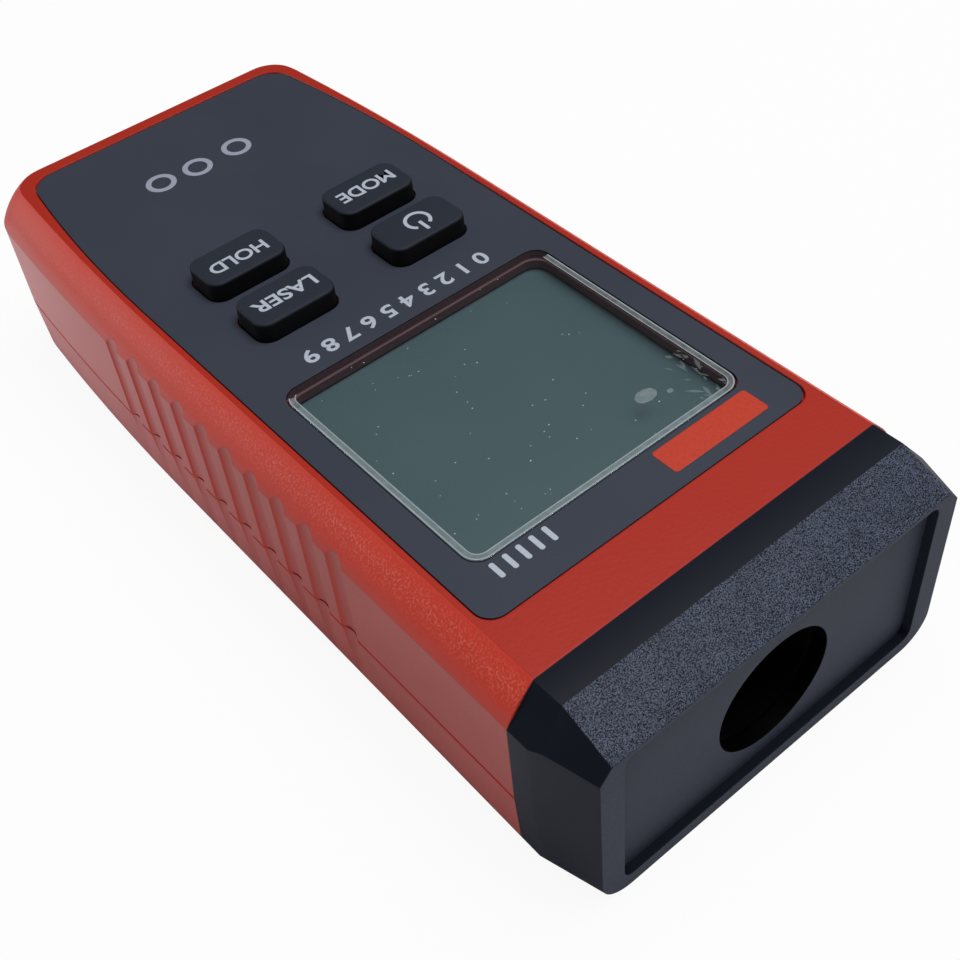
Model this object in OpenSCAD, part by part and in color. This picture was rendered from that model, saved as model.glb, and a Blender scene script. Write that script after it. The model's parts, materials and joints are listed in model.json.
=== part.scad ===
// Handheld laser tachometer: two-shell case with a nose bezel, keypad, display,
// optics block and a three-cell battery bay with a sliding door.
// Millimetres. +Y points out of the nose, +Z out of the display face, z = 0 is the back.

/* [Body] */
// Overall length from the tail to the front face
body_length = 136.5; // [135:0.5:139]
// Overall width at the parting line
body_width = 60; // [59.5:0.5:62]
// Height of the display face above the back
body_height = 30; // [29.5:0.5:32]
// Height of the seam between the two shells
parting_height = 11.5; // [10.5:0.5:12.5]
// Depth of the nose bezel along the body
nose_depth = 11.4; // [10.5:0.1:12.5]
// Wall thickness of the shells
wall = 2.0; // [1.8:0.1:2.2]
// Thickness of the display face
top_wall = 2.6; // [2.4:0.1:2.8]
// Thickness of the back
back_wall = 2.2; // [2.2:0.1:2.4]
// Plan radius of the tail corners
corner_r = 8.6; // [8:0.1:9.2]
// Plan radius of the gently curved sides towards the tail
taper_r = 520; // [480:10:600]
// Length of the curved sides, from the tail
taper_length = 50; // [46:1:54]
// Width of the rounded shoulder in plan
shoulder_width = 4.0; // [3.8:0.1:4.2]
// Drop of the rounded shoulder below the display face
shoulder_drop = 5.0; // [4.6:0.1:5.4]
// Half angle of the shoulder arc
shoulder_bulge = 12; // [10:1:16]
// Radius of the long edges of the back
back_edge_r = 3.2; // [2.8:0.1:3.6]
// Lean of the lower side walls
lower_draft = 0.35; // [0.2:0.05:0.5]
// Chamfer that shows as the seam line
seam = 0.3; // [0.2:0.01:0.36]
// Height of the seam lip inside the walls
lip_height = 1.2; // [1:0.1:1.5]
// Thickness of the seam lip
lip_thickness = 0.85; // [0.75:0.05:0.95]

/* [Grip flutes] */
// Number of flutes on each side
flute_count = 10; // [8:1:11]
// Distance between flutes
flute_pitch = 5.77; // [5.5:0.01:6]
// Distance of the last flute from the tail
flute_start = 42.6; // [40:0.1:44]
// Radius of a flute
flute_r = 2.6; // [2.4:0.1:2.8]
// Depth of a flute in the upper shell
flute_depth = 0.62; // [0.5:0.02:0.7]
// Depth of a flute in the lower shell
flute_depth_low = 0.48; // [0.4:0.02:0.6]

/* [Nose] */
// Flat band between the shells and the nose chamfer
nose_band = 4.25; // [3.8:0.05:4.6]
// Drop of the display face at the front edge
nose_drop = 2.9; // [2.6:0.1:3.2]
// Half width of the front face
front_half_width = 27.7; // [27.4:0.1:28]
// Length of the side facets of the nose
facet_length = 8.2; // [7.6:0.1:8.8]
// Radius of the sensor opening
aperture_r = 8.8; // [8.6:0.1:9]
// Height of the sensor opening's centre above the back
aperture_height = 13.2; // [13:0.1:13.6]
// Depth of the panel in the front face
panel_depth = 1.3; // [1:0.1:1.5]
// Half width of the panel in the front face
panel_half_width = 24.4; // [24:0.1:24.8]
// Height of the lower rim of the panel
panel_rim = 2.1; // [1.9:0.1:2.4]
// Radius of the lower edges of the side facets
nose_edge_r = 4.4; // [4:0.1:4.8]

/* [Face] */
// Gap between the face plate and the sides
plate_side_margin = 5.0; // [4.8:0.1:5.2]
// Gap between the bezel line and the face plate
plate_margin = 8.24; // [7.8:0.02:8.6]
// Gap between the face plate and the tail
plate_tail_margin = 6.3; // [6:0.1:6.6]
// Thickness of the face plate
plate_thickness = 0.5; // [0.4:0.05:0.6]
// Gap between the display opening and the sides
window_side_margin = 8.9; // [8.7:0.1:9.4]
// Half length of the display opening
window_half_length = 18.9; // [18.5:0.1:19.1]
// Distance from the bezel line to the middle of the display
window_offset = 34.1; // [33.8:0.1:34.4]
// Corner radius of the display opening
window_r = 2.4; // [2:0.1:2.8]
// Thickness of the clear lens
lens_thickness = 1.2; // [1:0.1:1.3]

/* [Keys] */
// Width of a key
key_width = 12.4; // [12:0.1:12.8]
// Length of a key
key_length = 7.5; // [7.2:0.1:7.6]
// Corner radius of a key
key_r = 2.0; // [1.6:0.1:2.4]
// Height of a key above the display face
key_rise = 2.7; // [2.4:0.1:3]
// Travel of a key
key_travel = 0.9; // [0.6:0.05:0.9]
// Gap around a key in its opening
key_gap = 0.25; // [0.2:0.05:0.3]
// Distance of the key columns from the centre line
key_column = 10.95; // [10.8:0.05:11.1]
// Distance from the bezel line to the first key row
key_row_offset = 65.9; // [65.6:0.1:66.2]
// Distance between the key rows
key_row_pitch = 11.55; // [11.5:0.05:11.7]

/* [Batteries] */
// Diameter of a cell
cell_d = 10.3; // [10.1:0.1:10.5]
// Length of a cell with its contact
cell_length = 44.5; // [44.1:0.1:44.5]
// Distance between cells
cell_pitch = 11.3; // [11.1:0.1:11.4]
// Length of a pressed contact spring
spring_length = 4.5; // [4.2:0.1:4.8]
// Thickness of the battery door
door_thickness = 2.0; // [1.9:0.05:2.05]
// Length of the battery door from the tail
door_length = 55.25; // [54.6:0.05:56]

/* [Fits] */
// Gap of a still fit between two pieces
fit = 0.1; // [0.08:0.01:0.14]
// Gap of the sliding door
door_gap = 0.15; // [0.12:0.01:0.2]
// Radial clearance of a shaft in its hole
shaft_gap = 0.05; // [0.03:0.01:0.08]
// Radius of the case screws
case_screw_r = 1.25; // [1.2:0.05:1.4]
// Radius of the small screws
small_screw_r = 1.0; // [0.9:0.05:1.1]

/* [Hidden] */
$fn = 64;
eps = 0.02;
hw = body_width / 2;
nose_y = body_length / 2;
tail_y = -body_length / 2;
split_y = nose_y - nose_depth;
top_z = body_height;
part_z = parting_height;
taper_y = tail_y + taper_length;
corner_y = tail_y + corner_r;
taper_a = asin((taper_y - corner_y) / (taper_r - corner_r));
corner_x = hw - taper_r + (taper_r - corner_r) * cos(taper_a);
ring = corner_r - 2.0;
ring_step = 0.3;
corner_step = 0.02;
plate_half_width = hw - plate_side_margin;
window_half_width = hw - window_side_margin;
core_in = corner_r - 2.6;

// Shoulder arc between the display face and the side wall
sh_chord = sqrt(shoulder_width * shoulder_width + shoulder_drop * shoulder_drop);
sh_r = sh_chord / 2 / sin(shoulder_bulge);
sh_nu = shoulder_drop / sh_chord;
sh_nz = shoulder_width / sh_chord;
sh_cu = -shoulder_width / 2 - sh_nu * sh_r * cos(shoulder_bulge);
sh_cz = top_z - shoulder_drop / 2 - sh_nz * sh_r * cos(shoulder_bulge);
sh_steps = 6;
sh_a0 = atan2(top_z - shoulder_drop - sh_cz, -sh_cu);
sh_a1 = atan2(top_z - sh_cz, -shoulder_width - sh_cu);
sh_points = [for (k = [sh_steps : -1 : 0])
    let (a = sh_a0 + (sh_a1 - sh_a0) * k / sh_steps)
        [sh_cu + sh_r * cos(a), sh_cz + sh_r * sin(a)]];

// Heights of the layers inside, counted from the display face
under_z = top_z - top_wall;
plate_z = top_z - plate_thickness - 0.1;
lens_top_z = top_z - 0.1;
lens_z = lens_top_z - lens_thickness;
lcd_top_z = top_z - 3.1;
lcd_t = 2.4;
lcd_z = lcd_top_z - lcd_t;
pcb_top_z = top_z - 9;
pcb_t = 1.6;
pcb_z = pcb_top_z - pcb_t;

// Display
win_y = split_y - window_offset;
win_low_hw = window_half_width - 0.4;
win_low_hl = window_half_length - 0.4;
glass_hw = window_half_width + 1.9;
glass_hl = window_half_length + 1.5;
frame_hw = glass_hw + 1.9;
frame_hl = glass_hl + 0.9;
guide_hw = glass_hw - 1.4;

// Keypad
key_y1 = split_y - key_row_offset;
key_y2 = key_y1 - key_row_pitch;
key_top_z = top_z + key_rise;
mat_t = 1.0;
mat_top_z = pcb_top_z + mat_t;
web_h = 1.6;
flange_z = mat_top_z + web_h;
flange_t = 0.8;
web_out = 1.1;
web_in = 0.6;
pill_r = 1.8;
pill_t = 0.5;

// Circuit board
pcb_hw = hw - 4.4;
pcb_y0 = tail_y + 8.25;
pcb_y1 = split_y - 12.55;
case_x = hw - 6.4;
case_y1 = pcb_y1 + 3.3;
case_y2 = tail_y + 18.25;
case_boss_r = 3.0;
case_boss_z = 16;
case_head_z = 4.2;
pcb_x = hw - 7.5;
pcb_sy1 = win_y - window_half_length - 5.35;
pcb_sy2 = pcb_sy1 - 31.5;
pcb_boss_r = 2.4;

// Battery bay and door
bay_hw = cell_pitch + cell_d / 2 + 0.75;
tub_t = 1.2;
tub_hw = bay_hw + tub_t;
door_hw = bay_hw + 1.0;
rail_hw = door_hw + 1.2;
rail_z = 1.1;
groove_hw = rail_hw + door_gap;
cell_z = door_thickness + 0.55 + cell_d / 2;
bay_top_z = cell_z + cell_d / 2 + 0.45;
tub_top_z = bay_top_z + tub_t;
strip_t = 0.4;
bay_y0 = tail_y + 2.8;
cells_y0 = bay_y0 + strip_t;
cells_y1 = cells_y0 + cell_length + spring_length;
bay_y1 = cells_y1 + strip_t;
door_y1 = tail_y + door_length;
label_y0 = door_y1 + 18.75;
label_y1 = split_y - 21.1;
tongue_hw = 6;
tongue_l = 1.5;
nub_r = 2.2;
nub_l = 1.2;

// Optics
lens_x = -3.3;
beam_x = 5.6;
opt_z = aperture_height;
hood_y1 = nose_y - panel_depth - 2.0 - fit;
disc_y0 = nose_y - 16.25;
disc_y1 = disc_y0 + 5;
hood_in = aperture_r - 0.6;
hood_out = aperture_r + 0.4;
hood_flat_z = back_wall + 2.1;
eye_r = 5.1;
barrel_r = 3.0;
barrel_y0 = disc_y0 - 5.2;
barrel_y1 = disc_y0 + 8.5;
sensor_y1 = disc_y0 - 5.8;
sensor_y0 = sensor_y1 - 1.2;
opt_screw_x = 11.5;
opt_screw_y = disc_y0 + 2.2;
opt_boss_z = 6.0;

// Sweeps of a wall section (u measured outwards from the widest line, z upwards)
module both_sides() {
    children();
    mirror([1, 0, 0]) children();
}

module perimeter() {
    both_sides() {
        translate([hw, split_y, 0])
            rotate([90, 0, 0])
                linear_extrude(height = split_y - taper_y) children();
        translate([hw - taper_r, taper_y, 0])
            mirror([0, 1, 0])
                rotate_extrude(angle = taper_a) translate([taper_r, 0]) children();
        translate([corner_x, corner_y, 0])
            rotate([0, 0, -92])
                rotate_extrude(angle = 94 - taper_a)
                    translate([corner_r - corner_step, 0]) children();
    }
    translate([corner_x, tail_y, 0])
        rotate([0, 0, -90])
            rotate([90, 0, 0])
                linear_extrude(height = 2 * corner_x) children();
}

// Plan inside the swept walls
module core(z0, z1) {
    a = hw - core_in;
    b = corner_x + (corner_r - core_in) * 0.95;
    c = corner_x + (corner_r - core_in) * 0.7;
    d = corner_y - (corner_r - core_in) * 0.7;
    e = tail_y + core_in;
    translate([0, 0, z0])
        linear_extrude(height = z1 - z0)
            polygon([[a, split_y], [a, taper_y], [b, corner_y], [c, d], [corner_x, e],
                     [-corner_x, e], [-c, d], [-b, corner_y], [-a, taper_y], [-a, split_y]]);
}

// Part of the lower edge outside its chord
module edge_cap() {
    e = lower_draft + back_edge_r;
    intersection() {
        translate([-e, back_edge_r]) circle(r = back_edge_r);
        polygon([[-e, 0], [-lower_draft, 0], [-lower_draft, back_edge_r],
                 [-lower_draft - 0.4, back_edge_r], [-e, 0.4]]);
    }
}

module top_section() {
    lip_u = wall - lip_thickness - fit;
    polygon(concat([[-ring, top_z]], sh_points,
                   [[0, part_z + seam], [-seam, part_z], [-lip_u, part_z],
                    [-lip_u, part_z + lip_height + 2 * fit],
                    [-wall, part_z + lip_height + 2 * fit + 0.25],
                    [-wall, top_z - shoulder_drop - 1.5],
                    [-shoulder_width - 1, under_z - ring_step],
                    [-ring, under_z - ring_step]]));
}

module bottom_section() {
    lip_u = wall - lip_thickness;
    polygon([[-ring, 0], [-lower_draft - back_edge_r, 0], [-lower_draft, back_edge_r],
             [0, part_z - seam], [-seam, part_z], [-lip_u, part_z],
             [-lip_u, part_z + lip_height], [-wall, part_z + lip_height],
             [-wall, back_wall + 1.5], [-wall - 1.2, back_wall + ring_step],
             [-ring, back_wall + ring_step]]);
    edge_cap();
}

// Inside outline of the body, shrunk by g
module inner_outline(g) {
    a = hw - wall - g;
    b = hw - shoulder_width - 1 - g;
    z0 = back_wall + ring_step + g;
    z1 = under_z - ring_step - g;
    zs = top_z - shoulder_drop - 1.5 - g;
    polygon([[a, z0 + 1.4], [a, zs], [b, z1], [-b, z1], [-a, zs], [-a, z0 + 1.4],
             [-a + 1.4, z0], [a - 1.4, z0]]);
}

module round_rect(w, l, r) {
    square([w - 2 * r, l], center = true);
    square([w, l - 2 * r], center = true);
    for (sx = [-1, 1])
        for (sy = [-1, 1])
            translate([sx * (w / 2 - r), sy * (l / 2 - r)]) circle(r = r);
}

module block(x0, x1, y0, y1, z0, z1) {
    translate([x0, y0, z0]) cube([x1 - x0, y1 - y0, z1 - z0]);
}

module along_y(r, y0, y1) {
    translate([0, y1, 0]) rotate([90, 0, 0]) cylinder(r = r, h = y1 - y0);
}

// Vertical grip flutes; the upper ones run out in the shoulder
module flutes(z0, z1, depth) {
    both_sides()
        for (k = [0 : flute_count - 1])
            translate([hw + flute_r - depth, tail_y + flute_start + k * flute_pitch, z0])
                cylinder(r = flute_r, h = z1 - z0);
}

// Face plate outline, grown by g
module plate_outline(g) {
    y1 = split_y - plate_margin + g;
    y0 = tail_y + plate_tail_margin - g;
    ym = tail_y + 45;
    h = plate_half_width + g;
    br = 250 + g;
    cr = 4.2;
    ax = plate_half_width - 250;
    cx = ax + sqrt(pow(br - cr, 2) - pow(ym - y0 - cr, 2));
    translate([-h, ym]) square([2 * h, y1 - ym - 2.5]);
    translate([-h + 2.5, y1 - 3]) square([2 * h - 5, 3]);
    for (s = [-1, 1])
        translate([s * (h - 2.5), y1 - 2.5]) circle(r = 2.5);
    intersection() {
        translate([ax, ym]) circle(r = br, $fn = 360);
        translate([-ax, ym]) circle(r = br, $fn = 360);
        translate([-h, y0 + cr]) square([2 * h, ym - y0 - cr]);
    }
    translate([-cx, y0]) square([2 * cx, cr]);
    for (s = [-1, 1])
        translate([s * cx, y0 + cr]) circle(r = cr);
}

module window_outline(g) {
    translate([0, win_y])
        round_rect(2 * (window_half_width + g), 2 * (window_half_length + g), window_r);
}

module at_keys() {
    for (sx = [-1, 1])
        for (y = [key_y1, key_y2])
            translate([sx * key_column, y]) children();
}

module key_outline(g) {
    round_rect(key_width + 2 * g, key_length + 2 * g, key_r + g);
}

module at_case_screws() {
    for (sx = [-1, 1])
        for (y = [case_y1, case_y2])
            translate([sx * case_x, y, 0]) children();
}

module at_board_screws() {
    for (sx = [-1, 1])
        for (y = [pcb_sy1, pcb_sy2])
            translate([sx * pcb_x, y, 0]) children();
}

module at_optics_screws() {
    for (sx = [-1, 1])
        translate([sx * opt_screw_x, opt_screw_y, 0]) children();
}

module cross_recess(size, depth) {
    translate([-size / 2, -size / 10, 0]) cube([size, size / 5, depth]);
    translate([-size / 10, -size / 2, 0]) cube([size / 5, size, depth]);
}

// Case
module top_shell() {
    color([0.72, 0.17, 0.13])
    difference() {
        union() {
            perimeter() top_section();
            core(under_z, top_z);
            at_case_screws()
                translate([0, 0, case_boss_z + fit])
                    cylinder(r = case_boss_r, h = under_z - case_boss_z);
            at_board_screws()
                translate([0, 0, pcb_top_z])
                    cylinder(r = pcb_boss_r, h = under_z - pcb_top_z + 0.5);
            translate([0, 0, flange_z + flange_t + 0.3])
                linear_extrude(height = under_z - flange_z - flange_t)
                    at_keys() key_outline(1.0 + key_gap);
        }
        translate([0, 0, plate_z - 0.1])
            linear_extrude(height = 2) plate_outline(0.22);
        translate([0, 0, lens_z])
            linear_extrude(height = 3) window_outline(0);
        translate([0, 0, under_z - 1])
            linear_extrude(height = 4) window_outline(-0.4);
        translate([0, 0, flange_z])
            linear_extrude(height = 12) at_keys() key_outline(key_gap);
        at_case_screws()
            translate([0, 0, case_boss_z - 1])
                cylinder(r = case_screw_r + shaft_gap, h = 9.6);
        at_board_screws()
            translate([0, 0, pcb_top_z - 1])
                cylinder(r = small_screw_r + shaft_gap, h = 5.6);
        flutes(part_z - 1, top_z + 1, flute_depth);
    }
}

module bottom_shell() {
    color([0.70, 0.18, 0.14])
    difference() {
        union() {
            perimeter() bottom_section();
            core(0, back_wall);
            at_case_screws() cylinder(r = case_boss_r, h = case_boss_z);
            block(-tub_hw, tub_hw, tail_y + 1.5, bay_y1 + tub_t,
                  back_wall - 1, part_z + lip_height - 0.2);
            block(-tub_hw, tub_hw, tail_y + wall + fit, bay_y1 + tub_t,
                  back_wall - 1, tub_top_z);
            for (s = [-1, 1])
                block(s > 0 ? bay_hw : -rail_hw - 1.6, s > 0 ? rail_hw + 1.6 : -bay_hw,
                      tail_y + 1.5, door_y1 + 2, back_wall - 0.5, back_wall + 1.3);
            block(-tongue_hw - 2, tongue_hw + 2, door_y1, door_y1 + tongue_l + 2,
                  back_wall - 0.5, back_wall + 1.2);
            at_optics_screws() cylinder(r = 2.2, h = opt_boss_z);
        }
        // Cell bay, open to the door
        block(-bay_hw, bay_hw, bay_y0, bay_y1, -1, bay_top_z);
        // Door opening and the grooves of its rails
        block(-door_hw - door_gap, door_hw + door_gap, tail_y - 1, door_y1 + door_gap,
              -1, door_thickness + 0.15);
        block(-groove_hw, groove_hw, tail_y - 1, door_y1 + door_gap,
              rail_z - door_gap, door_thickness + 0.15);
        block(-tongue_hw - 0.2, tongue_hw + 0.2, door_y1, door_y1 + tongue_l + 0.2,
              rail_z - door_gap, door_thickness + 0.15);
        // Slots for the solder tabs
        block(-cell_pitch - 1.2, -cell_pitch + 1.2, bay_y0, bay_y0 + 0.8,
              bay_top_z - 1, tub_top_z + 1);
        block(cell_pitch - 1.2, cell_pitch + 1.2, bay_y1 - 0.8, bay_y1,
              bay_top_z - 1, tub_top_z + 1);
        at_case_screws() {
            translate([0, 0, -1]) cylinder(r = 2.9, h = case_head_z + 1.8 + 1);
            translate([0, 0, -1]) cylinder(r = case_screw_r + 0.3, h = case_boss_z + 2);
        }
        at_optics_screws()
            translate([0, 0, back_wall - 0.4])
                cylinder(r = small_screw_r + shaft_gap, h = 8);
        // Recess of the back label
        block(-17.2, 17.2, label_y0 - 0.2, label_y1 + 0.2, -1, 0.25);
        flutes(-1, part_z + 1, flute_depth_low);
    }
}

module nose_bezel() {
    panel_top = top_z - nose_drop - 0.6;
    color([0.14, 0.15, 0.17])
    difference() {
        union() {
            intersection() {
                translate([0, nose_y, 0])
                    rotate([90, 0, 0])
                        linear_extrude(height = nose_depth) {
                            nose_outline();
                            mirror([1, 0]) nose_outline();
                        }
                translate([-hw, 0, 0])
                    rotate([90, 0, 90])
                        linear_extrude(height = 2 * hw)
                            polygon([[split_y, 0], [nose_y, 0], [nose_y, top_z - nose_drop],
                                     [split_y + nose_band, top_z], [split_y, top_z]]);
                side_facet();
                mirror([1, 0, 0]) side_facet();
                corner_cut();
                mirror([1, 0, 0]) corner_cut();
            }
            // Spigot that enters the shells
            translate([0, split_y + 1, 0])
                rotate([90, 0, 0]) linear_extrude(height = 3.8) inner_outline(0.12);
        }
        translate([0, nose_y - panel_depth - 2.0, 0])
            rotate([90, 0, 0]) linear_extrude(height = 20) inner_outline(1.6);
        // Room for the bosses of the optics
        block(-opt_screw_x - 3, opt_screw_x + 3, split_y - 4, split_y,
              back_wall, back_wall + 3);
        // Recessed front panel
        translate([0, nose_y + 1, 0])
            rotate([90, 0, 0])
                linear_extrude(height = panel_depth + 1)
                    translate([0, (panel_rim + panel_top) / 2])
                        round_rect(2 * panel_half_width, panel_top - panel_rim, 1.6);
        translate([0, 0, opt_z]) along_y(aperture_r, split_y, nose_y + 1);
    }
}

// Half of the bezel across its width, with a flat shoulder
module nose_outline() {
    translate([hw, 0]) {
        polygon([[-hw, top_z], [-shoulder_width, top_z], [0, top_z - shoulder_drop],
                 [0, part_z], [-lower_draft, back_edge_r],
                 [-lower_draft - back_edge_r, 0], [-hw, 0]]);
        edge_cap();
    }
}

// Side facet of the nose with a rounded lower edge
module side_facet() {
    r = nose_edge_r;
    translate([front_half_width, nose_y, 0])
        rotate([0, 0, atan2(hw - front_half_width, facet_length)])
            translate([0, 30, 0])
                rotate([90, 0, 0])
                    linear_extrude(height = 90) {
                        translate([-90, 0]) square([90 - r, top_z + 5]);
                        translate([-90, r]) square([90, top_z + 5 - r]);
                        translate([-r, r]) circle(r = r);
                    }
}

// Half space below the slanted corner of the nose chamfer
module corner_cut() {
    translate([hw - shoulder_width, split_y + nose_band, top_z])
        rotate([0, 0, 19])
            rotate([0, 50.7, 0])
                translate([-90, -60, -70]) cube([120, 120, 70]);
}

module face_plate() {
    color([0.20, 0.21, 0.26])
    difference() {
        translate([0, 0, plate_z])
            linear_extrude(height = plate_thickness) plate_outline(0);
        translate([0, 0, plate_z - 1])
            linear_extrude(height = 4) {
                window_outline(0.1);
                at_keys() key_outline(key_gap);
            }
    }
}

module display_window() {
    color([0.75, 0.80, 0.80, 0.35])
    translate([0, 0, lens_z])
        linear_extrude(height = lens_thickness) window_outline(-fit);
}

// Keys
module key_body(sx, y) {
    color([0.12, 0.13, 0.14])
    translate([sx * key_column, y, 0]) {
        translate([0, 0, flange_z])
            linear_extrude(height = key_top_z - flange_z) key_outline(0);
        translate([0, 0, flange_z])
            linear_extrude(height = flange_t) key_outline(web_out);
        translate([0, 0, mat_top_z + pill_t])
            cylinder(r = pill_r + 0.8, h = web_h - pill_t + eps);
    }
}

module key_web(sx, y) {
    color([0.16, 0.17, 0.18])
    translate([sx * key_column, y, mat_top_z])
        linear_extrude(height = web_h)
            difference() {
                key_outline(web_out);
                key_outline(web_in);
            }
}

module key_pill(sx, y) {
    color([0.05, 0.05, 0.05])
    translate([sx * key_column, y, mat_top_z]) cylinder(r = pill_r, h = pill_t);
}

module key_power() { key_body(-1, key_y1); }
module key_mode() { key_body(-1, key_y2); }
module key_hold() { key_body(1, key_y2); }
module key_laser() { key_body(1, key_y1); }
module web_power() { key_web(-1, key_y1); }
module web_mode() { key_web(-1, key_y2); }
module web_hold() { key_web(1, key_y2); }
module web_laser() { key_web(1, key_y1); }
module pill_power() { key_pill(-1, key_y1); }
module pill_mode() { key_pill(-1, key_y2); }
module pill_hold() { key_pill(1, key_y2); }
module pill_laser() { key_pill(1, key_y1); }

module keypad_mat() {
    color([0.18, 0.19, 0.20])
    translate([0, 0, pcb_top_z])
        linear_extrude(height = mat_t)
            difference() {
                translate([0, (key_y1 + key_y2) / 2])
                    square([2 * key_column + key_width + 4.4,
                            key_row_pitch + key_length + 6.4], center = true);
                at_keys() key_outline(web_in);
            }
}

// Main board and display stack
module main_board() {
    color([0.10, 0.36, 0.20])
    difference() {
        block(-pcb_hw, pcb_hw, pcb_y0, pcb_y1, pcb_z, pcb_top_z);
        for (s = [-1, 1]) {
            translate([s * case_x, case_y2, pcb_z - 1])
                cylinder(r = case_boss_r + 0.5, h = 4);
            translate([s * (case_x + 5), case_y2, pcb_z + 1])
                cube([10, 2 * case_boss_r + 1, 6], center = true);
        }
        at_board_screws()
            translate([0, 0, pcb_z - 1]) cylinder(r = small_screw_r + 0.2, h = 4);
        at_frame_pegs()
            translate([0, 0, pcb_z - 1]) cylinder(r = 0.8, h = 4);
    }
}

module at_frame_pegs() {
    for (sx = [-1, 1])
        for (sy = [-1, 1])
            translate([sx * (frame_hw - 1), win_y + sy * (frame_hl - 3), 0]) children();
}

module lcd_frame() {
    color([0.85, 0.85, 0.82])
    difference() {
        union() {
            block(-frame_hw, frame_hw, win_y - frame_hl, win_y + frame_hl,
                  pcb_top_z, lcd_top_z);
            at_frame_pegs()
                translate([0, 0, pcb_z - 0.3]) cylinder(r = 0.7, h = 3);
        }
        block(-glass_hw - fit, glass_hw + fit, win_y - glass_hl - fit,
              win_y + glass_hl + fit, lcd_z, lcd_top_z + 1);
        block(-guide_hw - 0.15, guide_hw + 0.15, win_y - glass_hl + 0.5,
              win_y + glass_hl - 1.5, pcb_top_z - 1, lcd_z + 1);
    }
}

module lcd_cell() {
    color([0.45, 0.52, 0.50])
    block(-glass_hw, glass_hw, win_y - glass_hl, win_y + glass_hl, lcd_z, lcd_top_z);
}

module lcd_polarizer() {
    color([0.36, 0.42, 0.41])
    block(-window_half_width - 0.5, window_half_width + 0.5,
          win_y - window_half_length - 0.3, win_y + window_half_length + 0.3,
          lcd_top_z, lcd_top_z + 0.2);
}

module lcd_gasket() {
    color([0.05, 0.05, 0.05])
    difference() {
        block(-glass_hw, glass_hw, win_y - glass_hl, win_y + glass_hl,
              lcd_top_z, under_z);
        block(-window_half_width - 0.8, window_half_width + 0.8,
              win_y - window_half_length - 0.6, win_y + window_half_length + 0.6,
              lcd_top_z - 1, under_z + 1);
    }
}

module lcd_zebra_strip() {
    color([0.75, 0.55, 0.60])
    block(-glass_hw + 2, glass_hw - 2, win_y - glass_hl + 0.65, win_y - glass_hl + 2.65,
          pcb_top_z, lcd_z);
}

module backlight_leds() {
    color([0.95, 0.93, 0.80])
    for (x = [-9, 9])
        block(x - 1.6, x + 1.6, win_y - glass_hl + 2.85, win_y - glass_hl + 4.05,
              pcb_top_z, pcb_top_z + 1.8);
}

module light_guide() {
    color([0.92, 0.94, 0.95])
    block(-guide_hw, guide_hw, win_y - glass_hl + 4.15, win_y + glass_hl - 1.65,
          pcb_top_z, lcd_z);
}

module controller_chip() {
    color([0.08, 0.08, 0.09])
    translate([0, win_y - 3, pcb_z]) {
        translate([-6, -6, -1.5]) cube([12, 12, 1.5]);
        for (a = [0 : 90 : 270])
            rotate([0, 0, a])
                for (k = [-4 : 4])
                    translate([5.9, k * 1.1 - 0.25, -0.5]) cube([1.4, 0.5, 0.5]);
    }
}

module crystal() {
    color([0.75, 0.76, 0.78])
    translate([14.5, win_y - 3, pcb_z - 3.5]) {
        translate([-2.3, -3.3, 0]) cube([4.6, 6.6, 3.5]);
        for (s = [-1, 1])
            translate([0, s * 3.3, 0]) cylinder(r = 2.3, h = 3.5);
    }
}

module capacitor() {
    color([0.15, 0.18, 0.35])
    translate([-15.5, win_y + 6, pcb_z - 9]) {
        cylinder(r = 4, h = 8.4);
        for (s = [-1, 1])
            translate([s * 1.25, 0, 8]) cylinder(r = 0.3, h = 1);
    }
}

module small_components() {
    color([0.55, 0.45, 0.35])
    for (k = [0 : 5]) {
        block(-12 + 3.4 * k, -10 + 3.4 * k, win_y + 8, win_y + 9.2, pcb_z - 0.7, pcb_z);
        block(-13 + 3.6 * k, -11 + 3.6 * k, win_y - 15, win_y - 13.8, pcb_z - 0.7, pcb_z);
        block(6 + 2.6 * k - 6, 7.2 + 2.6 * k - 6, key_y2 - 16, key_y2 - 14,
              pcb_z - 0.7, pcb_z);
    }
}

// Optics in the nose
module sensor_board() {
    color([0.10, 0.36, 0.20])
    block(-12, 12, sensor_y0, sensor_y1, 5.2, pcb_z - 0.6);
}

module sensor_header() {
    color([0.10, 0.10, 0.11])
    block(-7, 7, sensor_y0 - 3.2, sensor_y0, pcb_z - 2.5, pcb_z);
}

module photodiode() {
    color([0.20, 0.10, 0.12])
    translate([lens_x, 0, opt_z]) {
        along_y(2.9, sensor_y1, sensor_y1 + 1);
        along_y(2.5, sensor_y1 + 0.9, sensor_y1 + 4);
        translate([0, sensor_y1 + 4, 0])
            rotate([-90, 0, 0])
                intersection() {
                    sphere(r = 2.5);
                    cylinder(r = 3, h = 3);
                }
    }
}

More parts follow.
